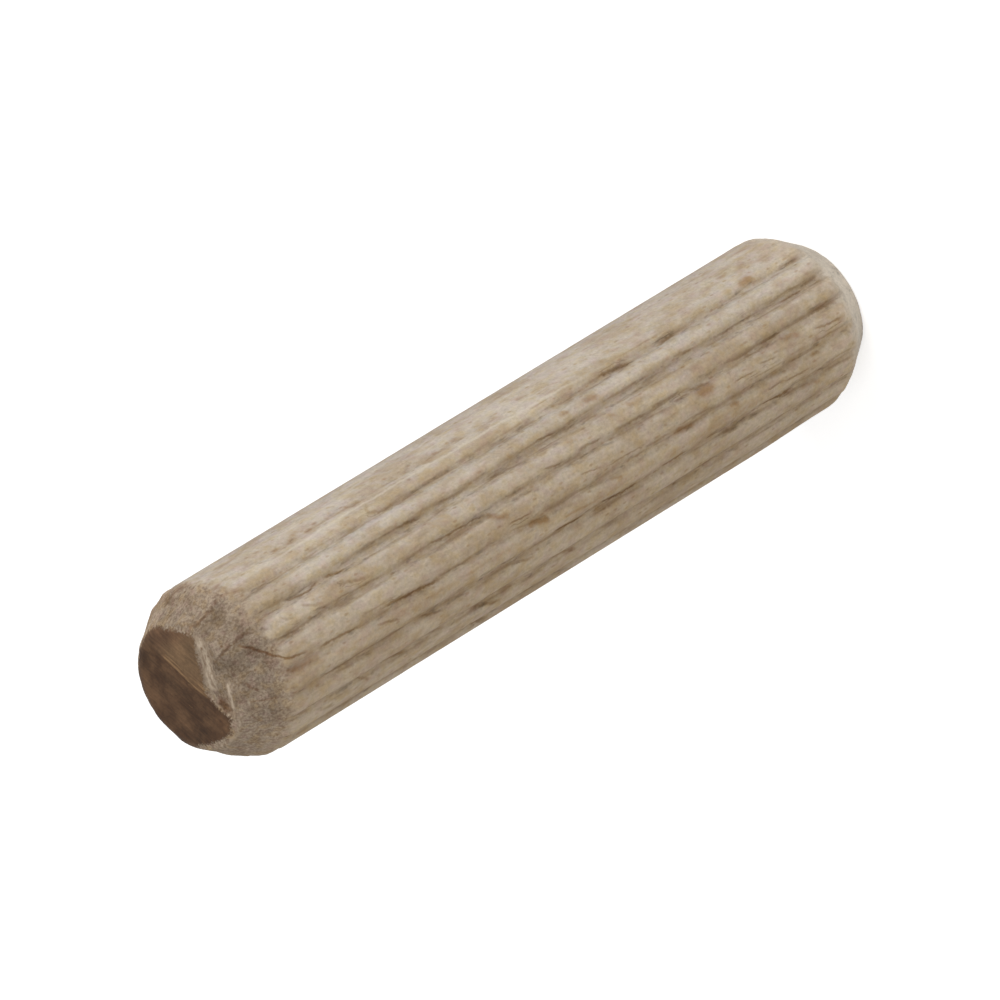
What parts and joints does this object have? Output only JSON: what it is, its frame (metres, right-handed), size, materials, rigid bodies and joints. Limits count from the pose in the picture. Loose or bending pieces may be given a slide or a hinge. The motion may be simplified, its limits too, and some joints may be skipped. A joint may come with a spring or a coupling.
{
  "type": "fluted wooden dowel pin",
  "caption": "Straight round wooden pin with fine lengthwise flutes and a rounded chamfer at each end, for pinning and glueing furniture joints.",
  "frame": {"origin": "centre of the bottom end face, on the pin's axis", "axes": "+Z along the pin's axis, from the plainer end up to the rough, brown-stained end; one flute lies on +X"},
  "size_m": [0.008, 0.008, 0.04],
  "materials": {
    "beech": "plain unfinished beech, dry and matt"
  },
  "bodies": {
    "root": {"dowel_pin": "beech"}
  },
  "joints": []
}
